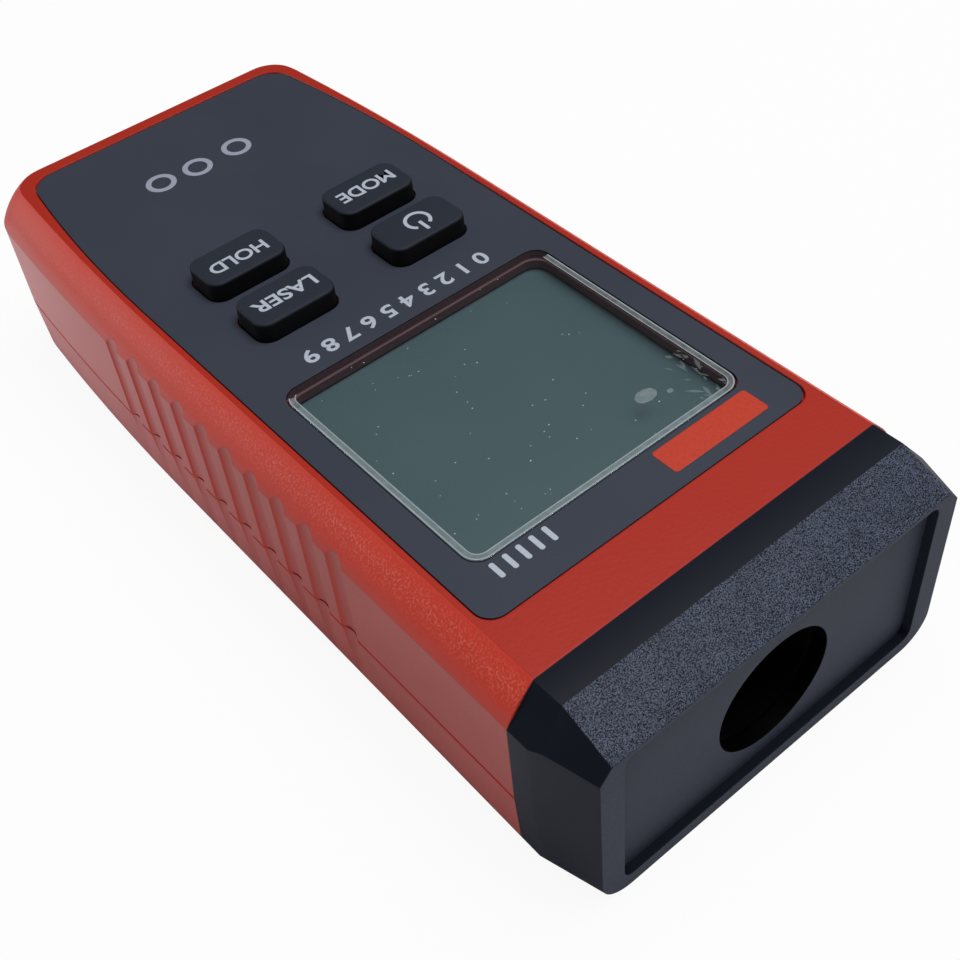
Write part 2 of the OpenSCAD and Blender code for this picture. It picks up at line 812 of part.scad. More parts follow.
module optics_holder() {
    color([0.07, 0.07, 0.08])
    difference() {
        union() {
            translate([0, 0, opt_z]) along_y(hood_out, disc_y0, hood_y1);
            for (s = [-1, 1])
                block(s > 0 ? 4.5 : -14.2, s > 0 ? 14.2 : -4.5, disc_y0, disc_y1,
                      opt_boss_z, opt_boss_z + 2.2);
        }
        block(-hood_out, hood_out, disc_y0 - 1, hood_y1 + 1, opt_z - hood_out - 1, hood_flat_z);
        difference() {
            translate([0, 0, opt_z]) along_y(hood_in, disc_y1, hood_y1 + 1);
            translate([lens_x, 0, opt_z]) along_y(eye_r + 1.1, disc_y1 - 1, disc_y1 + 2.6);
        }
        translate([lens_x, 0, opt_z]) along_y(eye_r - 0.7, disc_y0 - 1, disc_y1 + 3);
        translate([lens_x, 0, opt_z]) along_y(eye_r + shaft_gap, disc_y1, disc_y1 + 3);
        translate([beam_x, 0, opt_z]) along_y(barrel_r + shaft_gap, disc_y0 - 1, disc_y1 + 4);
        at_optics_screws()
            translate([0, 0, opt_boss_z - 1]) cylinder(r = small_screw_r + 0.2, h = 4.2);
        at_optics_screws()
            translate([0, 0, opt_boss_z + 2.2]) cylinder(r = 2.3, h = 4);
    }
}

module condenser_lens() {
    color([0.85, 0.90, 0.92, 0.5])
    translate([lens_x, disc_y1, opt_z])
        rotate([-90, 0, 0])
            intersection() {
                cylinder(r = eye_r, h = 4);
                translate([0, 0, 3.6 - 7.6]) sphere(r = 7.6, $fn = 96);
            }
}

module laser_barrel() {
    color([0.78, 0.62, 0.30])
    translate([beam_x, 0, opt_z])
        difference() {
            along_y(barrel_r, barrel_y0, barrel_y1);
            along_y(2.45, barrel_y0 - 1, barrel_y1 - 0.6);
            along_y(1.5, barrel_y1 - 2, barrel_y1 + 1);
        }
}

module laser_lens() {
    color([0.80, 0.86, 0.95, 0.5])
    translate([beam_x, 0, opt_z]) along_y(2.4, barrel_y1 - 1.9, barrel_y1 - 0.6);
}

module laser_diode() {
    color([0.80, 0.72, 0.45])
    translate([beam_x, 0, opt_z]) {
        along_y(2.4, barrel_y0 + 0.3, barrel_y0 + 1.3);
        along_y(1.8, barrel_y0 + 1.2, barrel_y0 + 3.5);
        for (a = [90, 210, 330])
            rotate([0, a, 0])
                translate([1.1, 0, 0]) along_y(0.22, sensor_y1, barrel_y0 + 0.4);
    }
}

// Screws
module case_screws() {
    color([0.30, 0.30, 0.32])
    at_case_screws()
        difference() {
            union() {
                translate([0, 0, case_head_z]) cylinder(r = 2.5, h = 1.8);
                translate([0, 0, case_head_z + 1])
                    cylinder(r = case_screw_r, h = case_boss_z + 7.4 - case_head_z);
            }
            translate([0, 0, case_head_z - eps]) cross_recess(2.8, 0.9);
        }
}

module board_screws() {
    color([0.70, 0.70, 0.72])
    at_board_screws()
        difference() {
            union() {
                translate([0, 0, pcb_z - 1.3]) cylinder(r = 1.9, h = 1.3);
                translate([0, 0, pcb_z - 0.5]) cylinder(r = small_screw_r, h = pcb_t + 4.5);
            }
            translate([0, 0, pcb_z - 1.3 - eps]) cross_recess(2.2, 0.6);
        }
}

module optics_screws() {
    color([0.70, 0.70, 0.72])
    at_optics_screws()
        difference() {
            union() {
                translate([0, 0, opt_boss_z + 2.2]) cylinder(r = 1.9, h = 1.3);
                translate([0, 0, back_wall]) cylinder(r = small_screw_r, h = opt_boss_z + 1);
            }
            translate([0, 0, opt_boss_z + 2.9 + eps]) cross_recess(2.2, 0.6);
        }
}

// Battery bay
module battery_door() {
    color([0.70, 0.18, 0.14])
    difference() {
        union() {
            block(-door_hw, door_hw, tail_y + 4, door_y1, 0, door_thickness);
            block(-rail_hw, rail_hw, tail_y + 4, door_y1, rail_z, door_thickness);
            block(-tongue_hw, tongue_hw, door_y1 - 1, door_y1 + tongue_l,
                  rail_z, door_thickness);
            intersection() {
                translate([corner_x, tail_y, 0])
                    rotate([0, 0, -90])
                        rotate([90, 0, 0])
                            linear_extrude(height = 2 * corner_x) {
                                polygon([[-4.5, 0], [-lower_draft - back_edge_r, 0],
                                         [-lower_draft, back_edge_r], [-4.5, back_edge_r]]);
                                edge_cap();
                            }
                union() {
                    block(-door_hw, door_hw, tail_y - 1, tail_y + 5, -1, door_thickness);
                    block(-rail_hw, rail_hw, tail_y - 1, tail_y + 5, rail_z, door_thickness);
                }
            }
        }
        // Thumb grip and plain arrow
        for (k = [0 : 4])
            block(-8, 8, door_y1 - 4.6 - 2.2 * k, door_y1 - 3.6 - 2.2 * k, -1, 0.5);
        translate([0, 0, -1])
            linear_extrude(height = 1.3)
                polygon([[-4, door_y1 - 17], [4, door_y1 - 17], [0, door_y1 - 23]]);
    }
}

// A cell with its raised contact towards +Y
module cell_body(y0) {
    along_y(cell_d / 2, y0, y0 + cell_length - nub_l);
    along_y(nub_r, y0 + cell_length - nub_l - 0.5, y0 + cell_length);
}

module battery_1() {
    color([0.15, 0.30, 0.55])
    translate([-cell_pitch, 0, cell_z]) cell_body(cells_y0 + spring_length);
}

module battery_2() {
    color([0.15, 0.30, 0.55])
    translate([0, 0, cell_z])
        mirror([0, 1, 0]) cell_body(-cells_y0 - cell_length);
}

module battery_3() {
    color([0.15, 0.30, 0.55])
    translate([cell_pitch, 0, cell_z]) cell_body(cells_y0 + spring_length);
}

module coil() {
    linear_extrude(height = spring_length, twist = 1080, slices = 60, $fn = 12)
        polygon([for (k = [0 : 4]) 3.2 * [cos(k * 30), sin(k * 30)],
                 for (k = [4 : -1 : 0]) 2.6 * [cos(k * 30), sin(k * 30)]]);
}

module battery_springs() {
    color([0.78, 0.78, 0.80]) {
        translate([-cell_pitch, cells_y0, cell_z]) rotate([-90, 0, 0]) coil();
        translate([cell_pitch, cells_y0, cell_z]) rotate([-90, 0, 0]) coil();
        translate([0, cells_y1 - spring_length, cell_z]) rotate([-90, 0, 0]) coil();
    }
}

module battery_contacts() {
    color([0.80, 0.80, 0.82]) {
        block(-cell_pitch - 4.5, -cell_pitch + 4.5, bay_y0, cells_y0, cell_z - 4.5, cell_z + 4.5);
        block(-cell_pitch - 1, -cell_pitch + 1, bay_y0, cells_y0, cell_z + 4, tub_top_z + 1);
        block(-4.5, cell_pitch + 4.5, bay_y0, cells_y0, cell_z - 4.5, cell_z + 4.5);
        block(-cell_pitch - 4.5, 4.5, cells_y1, bay_y1, cell_z - 4.5, cell_z + 4.5);
        block(cell_pitch - 4.5, cell_pitch + 4.5, cells_y1, bay_y1, cell_z - 4.5, cell_z + 4.5);
        block(cell_pitch - 1, cell_pitch + 1, cells_y1, bay_y1, cell_z + 4, tub_top_z + 1);
    }
}

// A lead that rises from a solder tab, runs along Y and ends on the main board
module lead(x, y0, y1) {
    zr = tub_top_z + 1.8;
    r = 0.6;
    translate([x, y0, tub_top_z + 1]) cylinder(r = r, h = 0.8);
    translate([x, y0, zr]) sphere(r = r);
    translate([x, 0, zr]) along_y(r, min(y0, y1), max(y0, y1));
    translate([x, y1, zr]) sphere(r = r);
    translate([x, y1, zr]) cylinder(r = r, h = pcb_z - zr);
}

module battery_lead_red() {
    color([0.75, 0.08, 0.08])
    lead(cell_pitch, cells_y1 + strip_t / 2, cells_y1 + 9);
}

module battery_lead_black() {
    color([0.05, 0.05, 0.05])
    lead(-cell_pitch, bay_y0 + strip_t / 2, bay_y0 + 11);
}

module back_label() {
    color([0.80, 0.80, 0.78])
    block(-17, 17, label_y0, label_y1, 0.05, 0.25);
}

top_shell();
bottom_shell();
nose_bezel();
face_plate();
display_window();
key_power();
key_mode();
key_hold();
key_laser();
keypad_mat();
web_power();
web_mode();
web_hold();
web_laser();
pill_power();
pill_mode();
pill_hold();
pill_laser();
main_board();
lcd_cell();
lcd_polarizer();
lcd_gasket();
lcd_frame();
lcd_zebra_strip();
light_guide();
backlight_leds();
controller_chip();
crystal();
small_components();
capacitor();
sensor_board();
sensor_header();
photodiode();
optics_holder();
condenser_lens();
laser_barrel();
laser_lens();
laser_diode();
optics_screws();
case_screws();
board_screws();
battery_door();
battery_1();
battery_2();
battery_3();
battery_springs();
battery_contacts();
battery_lead_red();
battery_lead_black();
back_label();
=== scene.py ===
import json
import math
import random

import bmesh
import bpy
from mathutils import Matrix, Vector


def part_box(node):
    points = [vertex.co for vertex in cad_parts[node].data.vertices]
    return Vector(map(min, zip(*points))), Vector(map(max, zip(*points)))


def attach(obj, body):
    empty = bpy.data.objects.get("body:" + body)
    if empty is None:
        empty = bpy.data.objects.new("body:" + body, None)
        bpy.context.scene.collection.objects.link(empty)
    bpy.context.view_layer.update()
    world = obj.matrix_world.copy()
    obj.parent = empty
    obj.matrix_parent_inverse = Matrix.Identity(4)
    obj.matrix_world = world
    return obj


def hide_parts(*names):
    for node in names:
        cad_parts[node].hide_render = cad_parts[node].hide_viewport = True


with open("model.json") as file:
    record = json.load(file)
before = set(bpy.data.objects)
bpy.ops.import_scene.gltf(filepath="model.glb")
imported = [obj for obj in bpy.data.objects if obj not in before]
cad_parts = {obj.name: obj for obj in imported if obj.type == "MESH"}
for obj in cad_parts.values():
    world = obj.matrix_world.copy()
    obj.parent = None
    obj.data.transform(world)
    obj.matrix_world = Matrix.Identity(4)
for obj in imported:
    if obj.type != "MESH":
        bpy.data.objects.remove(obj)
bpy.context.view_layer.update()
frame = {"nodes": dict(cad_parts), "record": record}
NODES = frame["nodes"]
MM = 0.001
WHITE = (1.0, 1.0, 1.0, 1.0)
scene = bpy.context.scene


def node_box(node):
    """Lowest and highest corner of a CAD node, in millimetres."""
    return [[round(c / MM, 3) for c in corner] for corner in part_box(node)]


# Places on the face, from the frame, in millimetres
plate_low, plate_high = node_box("face_plate")
lens_low, lens_high = node_box("display_window")
PLATE = plate_high[2]
PLATE_TAIL = plate_low[1]
LENS_W = lens_high[0] - lens_low[0]
LENS_L = lens_high[1] - lens_low[1]
LENS_R = 2.4
WIN_Y = (lens_low[1] + lens_high[1]) / 2

# The keys, from the frame, in millimetres
KEYS = {}
for label in ("power", "laser", "mode", "hold"):
    key_low, key_high = node_box("key_" + label)
    KEYS[label] = ((key_low[0] + key_high[0]) / 2, (key_low[1] + key_high[1]) / 2)
FLANGE = 1.1
FLANGE_LOW, FLANGE_TOP = 23.6, 24.4
KEY_TOP = key_high[2]
KEY_W = key_high[0] - key_low[0] - 2 * FLANGE
KEY_L = key_high[1] - key_low[1] - 2 * FLANGE
KEY_R = 2.0
KEY_EDGE = 0.42
CROWN = KEY_TOP - 0.05

# The shell and the nose, in metres, for patterns that depend on the place
HALF_WIDTH = node_box("top_shell")[1][0] * MM
SHOULDER_WIDTH = 4.0 * MM
SHOULDER_LOW = 25.2 * MM
CHAMFER_FROM = 60.0 * MM
CHAMFER_FACES_Y, CHAMFER_FACES_Z = 0.376, 0.927
FRONT_FROM = 66.0 * MM
HOLE_R = 8.83 * MM
HOLE_Z = 13.2 * MM

# The range in which most of a noise texture's values lie
CLOUD = (0.3, 0.7)


def srgb(r, g, b):
    """A colour from the 0 to 255 values that a picture shows."""
    def lin(c):
        c /= 255.0
        return c / 12.92 if c <= 0.04045 else ((c + 0.055) / 1.055) ** 2.4
    return (lin(r), lin(g), lin(b), 1.0)


def scaled(colour, k):
    """A colour made darker or lighter by a factor, up to white."""
    return tuple(min(1.0, c * k) for c in colour[:3]) + (1.0,)


class Net:
    """A node tree with short calls for its nodes."""

    def __init__(self, tree):
        self.t = tree
        self.t.nodes.clear()

    def node(self, kind, **props):
        n = self.t.nodes.new(kind)
        for k, v in props.items():
            setattr(n, k, v)
        return n

    def link(self, a, b):
        self.t.links.new(a, b)

    def put(self, socket, value):
        """Links an output to the socket, or sets the socket to a plain value."""
        if hasattr(value, "links"):
            self.link(value, socket)
        else:
            socket.default_value = value

    def shader(self, kind, **values):
        """A shader's output, with its sockets set."""
        n = self.node("ShaderNode" + kind)
        for k, v in values.items():
            self.put(n.inputs[k], v)
        return n.outputs[0]

    def join(self, fac, a, b):
        """Two shaders mixed by a factor."""
        n = self.node("ShaderNodeMixShader")
        for socket, value in zip(n.inputs, (fac, a, b)):
            self.put(socket, value)
        return n.outputs[0]

    def seen(self):
        """1 for what the camera sees directly, and 0 for light that bounces."""
        return self.node("ShaderNodeLightPath").outputs["Is Camera Ray"]


class Mat(Net):
    """A material with a plastic shader and short calls for patterns."""

    def __init__(self, name):
        self.m = bpy.data.materials.new(name)
        self.m.use_nodes = True
        super().__init__(self.m.node_tree)
        self.out = self.node("ShaderNodeOutputMaterial")
        self.b = self.node("ShaderNodeBsdfPrincipled")
        self.surface(self.b.outputs[0])
        self.co = self.node("ShaderNodeTexCoord").outputs["Object"]

    def surface(self, shader):
        self.link(shader, self.out.inputs["Surface"])

    def set(self, **values):
        for k, v in values.items():
            self.put(self.b.inputs[k.replace("_", " ")], v)

    def geometry(self, name):
        return self.node("ShaderNodeNewGeometry").outputs[name]

    def noise(self, scale, detail=2.0, rough=0.5, co=None):
        n = self.node("ShaderNodeTexNoise")
        self.link(co or self.co, n.inputs["Vector"])
        n.inputs["Scale"].default_value = scale
        n.inputs["Detail"].default_value = detail
        n.inputs["Roughness"].default_value = rough
        return n.outputs["Fac"]

    def pits(self, scale):
        n = self.node("ShaderNodeTexVoronoi", feature="SMOOTH_F1")
        self.link(self.co, n.inputs["Vector"])
        n.inputs["Scale"].default_value = scale
        return n.outputs["Distance"]

    def math(self, op, a, b=0.0, clamp=False):
        n = self.node("ShaderNodeMath", operation=op, use_clamp=clamp)
        for s, v in zip(n.inputs, (a, b)):
            self.put(s, v)
        return n.outputs[0]

    def times(self, a, b):
        return self.math("MULTIPLY", a, b)

    def plus(self, a, b):
        return self.math("ADD", a, b)

    def minus(self, a, b, clamp=False):
        return self.math("SUBTRACT", a, b, clamp)

    def size(self, a):
        return self.math("ABSOLUTE", a)

    def above(self, a, limit):
        return self.math("GREATER_THAN", a, limit)

    def below(self, a, limit):
        return self.math("LESS_THAN", a, limit)

    def fit(self, v, a, b, c=0.0, d=1.0):
        """v taken from the range a to b into the range c to d."""
        n = self.node("ShaderNodeMapRange")
        for s, x in zip(n.inputs, (v, a, b, c, d)):
            self.put(s, x)
        return n.outputs[0]

    def mix(self, fac, a, b):
        """The colour a where the factor is 0, and b where it is 1."""
        n = self.node("ShaderNodeMix", data_type="RGBA")
        self.put(n.inputs[0], fac)
        self.put(n.inputs[6], a)
        self.put(n.inputs[7], b)
        return n.outputs[2]

    def split(self, v):
        n = self.node("ShaderNodeSeparateXYZ")
        self.link(v, n.inputs[0])
        return n.outputs

    def bevel(self, radius):
        n = self.node("ShaderNodeBevel", samples=6)
        n.inputs["Radius"].default_value = radius
        return n.outputs[0]

    def bump(self, height, distance, normal):
        n = self.node("ShaderNodeBump")
        n.inputs["Strength"].default_value = 1.0
        n.inputs["Distance"].default_value = distance
        self.link(height, n.inputs["Height"])
        self.link(normal, n.inputs["Normal"])
        return n.outputs[0]

    def edge(self, rounded):
        """Where the rounded normal leaves the true one: 0 on flats, more on edges."""
        n = self.node("ShaderNodeVectorMath", operation="DOT_PRODUCT")
        self.link(rounded, n.inputs[0])
        self.link(self.geometry("True Normal"), n.inputs[1])
        return self.fit(n.outputs["Value"], 1.0, 0.8)


def moulded(name, colour, rough, grain, height, vary, edge_r, edge_light, spec):
    """Moulded plastic: eroded grain, cloudy colour, rounded edges lightened partly as wear and
    partly as painted highlight.
    """
    m = Mat(name)
    rounded_normal = m.bevel(edge_r)
    cloud = m.fit(m.noise(38.0, 4.0, 0.6), *CLOUD)
    m.fine = m.noise(grain, 2.0, 0.6)
    relief = m.plus(m.times(m.fine, 0.6), m.times(m.pits(grain * 0.55), 0.7))
    base = m.mix(cloud, scaled(colour, 1.0 - vary), scaled(colour, 1.0 + vary))
    base = m.mix(m.times(m.fit(m.fine, 0.35, 0.7), 0.18), base, scaled(colour, 0.72))
    # Edges are lightened towards grey: partly wear, partly a painted highlight along the rounded
    # edges.
    wear_and_glint = tuple(c + (0.5 - c) * 0.22 for c in colour[:3]) + (1.0,)
    m.base = m.mix(m.times(m.edge(rounded_normal), edge_light), base, wear_and_glint)
    dull = m.times(cloud, 0.09)
    m.set(Base_Color=m.base,
          Roughness=m.plus(m.plus(dull, rough - 0.04), m.times(m.fine, 0.06)),
          Normal=m.bump(relief, height, rounded_normal))
    m.b.inputs["Specular IOR Level"].default_value = spec
    return m


def plain(name, colour, rough, metal=0.0, scale=900.0, vary=0.12, height=0.000004,
          stretch=None):
    """A small part's finish: cloudy tint, roughness and faint surface relief."""
    m = Mat(name)
    co = m.co
    if stretch:
        n = m.node("ShaderNodeMapping")
        m.link(m.co, n.inputs["Vector"])
        n.inputs["Scale"].default_value = stretch
        co = n.outputs[0]
    f = m.noise(scale, 3.0, 0.6, co)
    m.set(Base_Color=m.mix(m.fit(f, *CLOUD), scaled(colour, 1.0 - vary), scaled(colour, 1.0 + vary)),
          Roughness=m.fit(f, *CLOUD, max(0.02, rough - 0.06), rough + 0.06),
          Normal=m.bump(f, height, m.bevel(0.00012)))
    m.b.inputs["Metallic"].default_value = metal
    return m


def clear(name, tint, ior, gloss_rough):
    """Thin clear plastic: light passes straight through, and the outer surface reflects."""
    m = Mat(name)
    gloss = m.shader("BsdfGlossy", Color=WHITE,
                     Roughness=m.fit(m.noise(420.0, 3.0, 0.55), *CLOUD, gloss_rough,
                                     gloss_rough + 0.05),
                     Normal=m.bump(m.noise(45.0, 1.0), 0.000002, m.bevel(0.0002)))
    mirror = m.shader("Fresnel", IOR=ior)
    outside = m.minus(1.0, m.geometry("Backfacing"))
    m.surface(m.join(m.times(mirror, outside), m.shader("BsdfTransparent", Color=tint), gloss))
    return m


def haze(name, amount):
    """Something pale and thin that lets most light through: real on dust, painted reflection and
    highlight on bubbles, creases and the lens rim.
    """
    m = Mat(name)
    cover = m.fit(m.noise(900.0, 3.0), *CLOUD, amount * 0.7, amount * 1.2)
    m.surface(m.join(cover, m.shader("BsdfTransparent"),
                     m.shader("BsdfDiffuse", Color=srgb(190, 200, 202))))
    return m


RED = srgb(208, 58, 40)
# The second red is the top face painted deeper as shade, against the lighter shoulder.
RED_FACE_SHADED = srgb(167, 36, 18)
MATS = {
    "red_plastic": moulded("red_plastic", RED, rough=0.44, grain=3000.0, height=0.000020,
                           vary=0.05, edge_r=0.0003, edge_light=0.22, spec=0.30),
    "face_label": moulded("face_label", srgb(53, 58, 71), rough=0.50, grain=6000.0,
                          height=0.000007, vary=0.06, edge_r=0.0001, edge_light=0.12, spec=0.25),
    "key_plastic": moulded("key_plastic", srgb(38, 43, 54), rough=0.60, grain=6500.0,
                           height=0.000005, vary=0.08, edge_r=0.0001, edge_light=0.04, spec=0.18),
    "black_plastic": moulded("black_plastic", srgb(22, 26, 36), rough=0.42, grain=3600.0,
                             height=0.000004, vary=0.10, edge_r=0.0002, edge_light=0.35,
                             spec=0.06),
    "clear_plastic": clear("clear_plastic", (0.96, 0.98, 0.98, 1.0), ior=1.4, gloss_rough=0.04),
}
for label, colour, rough, more in (
        ("black_rubber", (34, 34, 36), 0.70, {"scale": 2600.0}),
        ("carbon_rubber", (20, 20, 21), 0.60, {"scale": 3200.0}),
        ("green_board", (30, 92, 52), 0.32, {"scale": 500.0, "vary": 0.2}),
        ("display_glass", (96, 112, 108), 0.12, {"scale": 60.0, "vary": 0.05}),
        ("polarizer_film", (70, 89, 95), 0.45, {"scale": 30.0, "vary": 0.02, "height": 0.000001}),
        ("black_foam", (26, 26, 28), 0.85, {"scale": 3800.0, "vary": 0.3, "height": 0.00003}),
        ("white_plastic", (222, 222, 214), 0.45, {"scale": 1200.0, "vary": 0.04}),
        ("zebra_rubber", (196, 150, 156), 0.60, {"vary": 0.2, "stretch": (14.0, 1.0, 1.0)}),
        ("led_resin", (240, 232, 178), 0.25, {"scale": 1500.0, "vary": 0.08}),
        ("black_epoxy", (28, 28, 30), 0.60, {"scale": 5000.0, "vary": 0.2}),
        ("tin_plate", (205, 205, 208), 0.26, {"metal": 1.0, "scale": 1800.0, "vary": 0.08}),
        ("component_ceramic", (150, 122, 96), 0.40, {"scale": 2500.0, "vary": 0.3}),
        ("sleeve_plastic", (36, 44, 92), 0.30, {}),
        ("dark_resin", (44, 20, 26), 0.12, {}),
        ("brass", (200, 164, 92), 0.28, {"metal": 1.0, "scale": 700.0, "vary": 0.1,
                                         "stretch": (1.0, 9.0, 1.0)}),
        ("gold_plate", (220, 184, 104), 0.22, {"metal": 1.0, "vary": 0.08}),
        ("zinc_steel", (196, 197, 200), 0.30, {"metal": 1.0, "scale": 1500.0}),
        ("black_steel", (70, 70, 74), 0.36, {"metal": 0.9, "scale": 1500.0, "vary": 0.2}),
        ("cell_sleeve", (38, 78, 140), 0.28, {"scale": 300.0, "vary": 0.1}),
        ("red_wire", (186, 28, 26), 0.40, {}),
        ("black_wire", (24, 24, 25), 0.40, {}),
        # window_liner is a dark sheet that paints shade on the walls of the display opening
        ("window_liner", (92, 60, 68), 0.60, {"scale": 2600.0}),
        ("paper_label", (206, 206, 200), 0.60, {"scale": 2200.0, "vary": 0.05})):
    MATS[label] = plain(label, srgb(*colour), rough, **more)


def paint_shell():
    """The face is painted a deeper red as shade, the sides are pale and dull as painted reflection
    and paler towards the tail, and the shoulder has a painted sparkling highlight.
    """
    m = MATS["red_plastic"]
    x, y, z = m.split(m.geometry("Normal"))
    px, py, pz = m.split(m.co)
    # Painted reflection: faces that point sideways are paled towards pink, and more so towards the
    # tail.
    side = m.times(m.fit(m.size(x), 0.82, 0.97), 0.80)
    # Painted shade: faces that point up get the deeper red.
    face = m.fit(z, 0.93, 0.995)
    pale = m.mix(m.fit(m.noise(60.0, 3.0), *CLOUD), srgb(172, 82, 77), srgb(184, 92, 87))
    pale = m.mix(m.fit(py, -0.062, 0.010, 1.0, 0.0), pale, srgb(234, 166, 168))

    # Painted highlight: a band along the middle of the shoulder is lightened with a fine speckle,
    # stronger towards the nose.
    inward = m.math("DIVIDE", m.minus(HALF_WIDTH, m.size(px)), SHOULDER_WIDTH)
    band = m.minus(1.0, m.times(m.size(m.minus(inward, 0.60)), 2.2), clamp=True)
    band = m.times(band, m.above(pz, SHOULDER_LOW))
    band = m.times(band, m.fit(py, -0.030, 0.030, 0.35, 1.0))
    shoulder_glint = m.times(m.times(band, m.fit(m.noise(3300.0, 1.0), 0.48, 0.66)), 0.45)

    base = m.mix(shoulder_glint, m.base, srgb(230, 130, 112))
    base = m.mix(face, base, RED_FACE_SHADED)
    m.set(Base_Color=m.mix(side, base, pale))


def paint_nose():
    """The chamfer has a sparkling eroded grain, the front is a satin grey, the sides are painted a
    lighter grey as light, and the bore of the hole is painted near black as shade.
    """
    m = MATS["black_plastic"]
    x, y, z = m.split(m.geometry("True Normal"))
    px, py, pz = m.split(m.co)
    faces_out = m.plus(m.times(y, CHAMFER_FACES_Y), m.times(z, CHAMFER_FACES_Z))
    chamfer = m.times(m.above(faces_out, 0.992), m.above(py, CHAMFER_FROM))
    front = m.times(m.above(y, 0.9), m.above(py, FRONT_FROM))
    # Painted light: the sides of the nose are a lighter grey where light falls on them.
    lit_cheek = m.fit(m.size(x), 0.90, 0.99)
    speck = m.fit(m.noise(6400.0, 1.0, 0.6), 0.40, 0.62)
    speck = m.times(speck, m.fit(m.noise(300.0, 3.0, 0.6), 0.2, 0.7, 0.75, 1.15))
    # Painted shade: the walls of the hole are painted near black.
    r2 = m.plus(m.times(px, px), m.math("POWER", m.minus(pz, HOLE_Z), 2.0))
    hole = m.times(m.below(r2, HOLE_R ** 2), m.below(m.size(y), 0.5))

    base = m.mix(lit_cheek, m.base, srgb(42, 47, 60))
    base = m.mix(chamfer, base, m.mix(speck, srgb(17, 20, 30), srgb(87, 94, 112)))
    satin = m.mix(m.fit(m.fine, 0.35, 0.7), srgb(61, 66, 80), srgb(71, 77, 91))
    base = m.mix(front, base, satin)
    m.set(Base_Color=m.mix(hole, base, srgb(3, 3, 4)))


def paint_keys():
    """The keys' walls are painted nearly black as shade."""
    m = MATS["key_plastic"]
    z = m.split(m.geometry("True Normal"))[2]
    m.set(Base_Color=m.mix(m.fit(z, 0.2, 0.8), srgb(14, 14, 19), m.base))


paint_shell()
paint_nose()
paint_keys()


def weld_group():
    """Joins the faces of a solid and shades it smooth up to a sharp angle."""
    g = bpy.data.node_groups.new("smooth_solid", "GeometryNodeTree")
    for way in ("INPUT", "OUTPUT"):
        g.interface.new_socket("Geometry", in_out=way, socket_type="NodeSocketGeometry")
    new = g.nodes.new
    strip = new("GeometryNodeRemoveAttribute")
    strip.inputs["Name"].default_value = "custom_normal"
    weld = new("GeometryNodeMergeByDistance")
    weld.inputs["Distance"].default_value = 2e-6
    faces = new("GeometryNodeSetShadeSmooth")
    faces.domain = "FACE"
    edges = new("GeometryNodeSetShadeSmooth")
    edges.domain = "EDGE"
    chain = [new("NodeGroupInput"), strip, weld, faces, edges, new("NodeGroupOutput")]
    for a, b in zip(chain, chain[1:]):
        g.links.new(a.outputs[0], b.inputs[0])
    blunt = new("FunctionNodeCompare")
    blunt.data_type = "FLOAT"
    blunt.operation = "LESS_THAN"
    blunt.inputs[1].default_value = math.radians(27)
    angle = new("GeometryNodeInputMeshEdgeAngle")
    g.links.new(angle.outputs["Unsigned Angle"], blunt.inputs[0])
    g.links.new(blunt.outputs[0], edges.inputs["Shade Smooth"])
    return g


# The solids of the frame get their finish, and the optics block is flocked black
WELD = weld_group()
FLOCK = plain("black_flock", srgb(5, 5, 6), 0.8, 0.0, 3000.0)
FLOCK.b.inputs["Specular IOR Level"].default_value = 0.05
for part in frame["record"]["subparts"]:
    solid = NODES[part["node"]]
    finish = FLOCK if part["node"] == "optics_holder" else MATS[part["material_slot"]]
    solid.data.materials.clear()
    solid.data.materials.append(finish.m)
    solid.modifiers.new("smooth", "NODES").node_group = WELD


def piece(name, verts, faces, mat, body, slot=None):
    """A mesh piece in millimetres that rides on a body."""
    me = bpy.data.meshes.new(name)
    me.from_pydata([tuple(c * MM for c in v) for v in verts], [], faces)
    bm = bmesh.new()
    bm.from_mesh(me)
    bmesh.ops.recalc_face_normals(bm, faces=bm.faces)
    bm.to_mesh(me)
    bm.free()
    me.shade_smooth()
    me.set_sharp_from_angle(angle=0.6)
    o = bpy.data.objects.new(name, me)
    scene.collection.objects.link(o)
    me.materials.append(mat.m)
    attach(o, body)
    return o


def rounded(w, l, r, n=8):
    """Points of a rectangle with round corners, anticlockwise."""
    pts = []
    for k, (sx, sy) in enumerate(((1, 1), (-1, 1), (-1, -1), (1, -1))):
        for i in range(n + 1):
            a = math.radians(90 * k + 90 * i / n)
            pts.append((sx * (w / 2 - r) + r * math.cos(a), sy * (l / 2 - r) + r * math.sin(a)))
    return pts


def placed(pts, cx, cy, z):
    """Points of an outline, moved to a centre and a height."""
    return [(cx + x, cy + y, z) for x, y in pts]


def stack(rings, caps=True):
    """Faces through rings of points of one length; returns verts and faces."""
    n = len(rings[0])
    verts = [p for r in rings for p in r]
    faces = []
    for k in range(len(rings) - 1):
        for i in range(n):
            j = (i + 1) % n
            faces.append((k * n + i, k * n + j, (k + 1) * n + j, (k + 1) * n + i))
    if caps:
        faces.append(tuple(range(n - 1, -1, -1)))
        faces.append(tuple(range((len(rings) - 1) * n, len(rings) * n)))
    return verts, faces


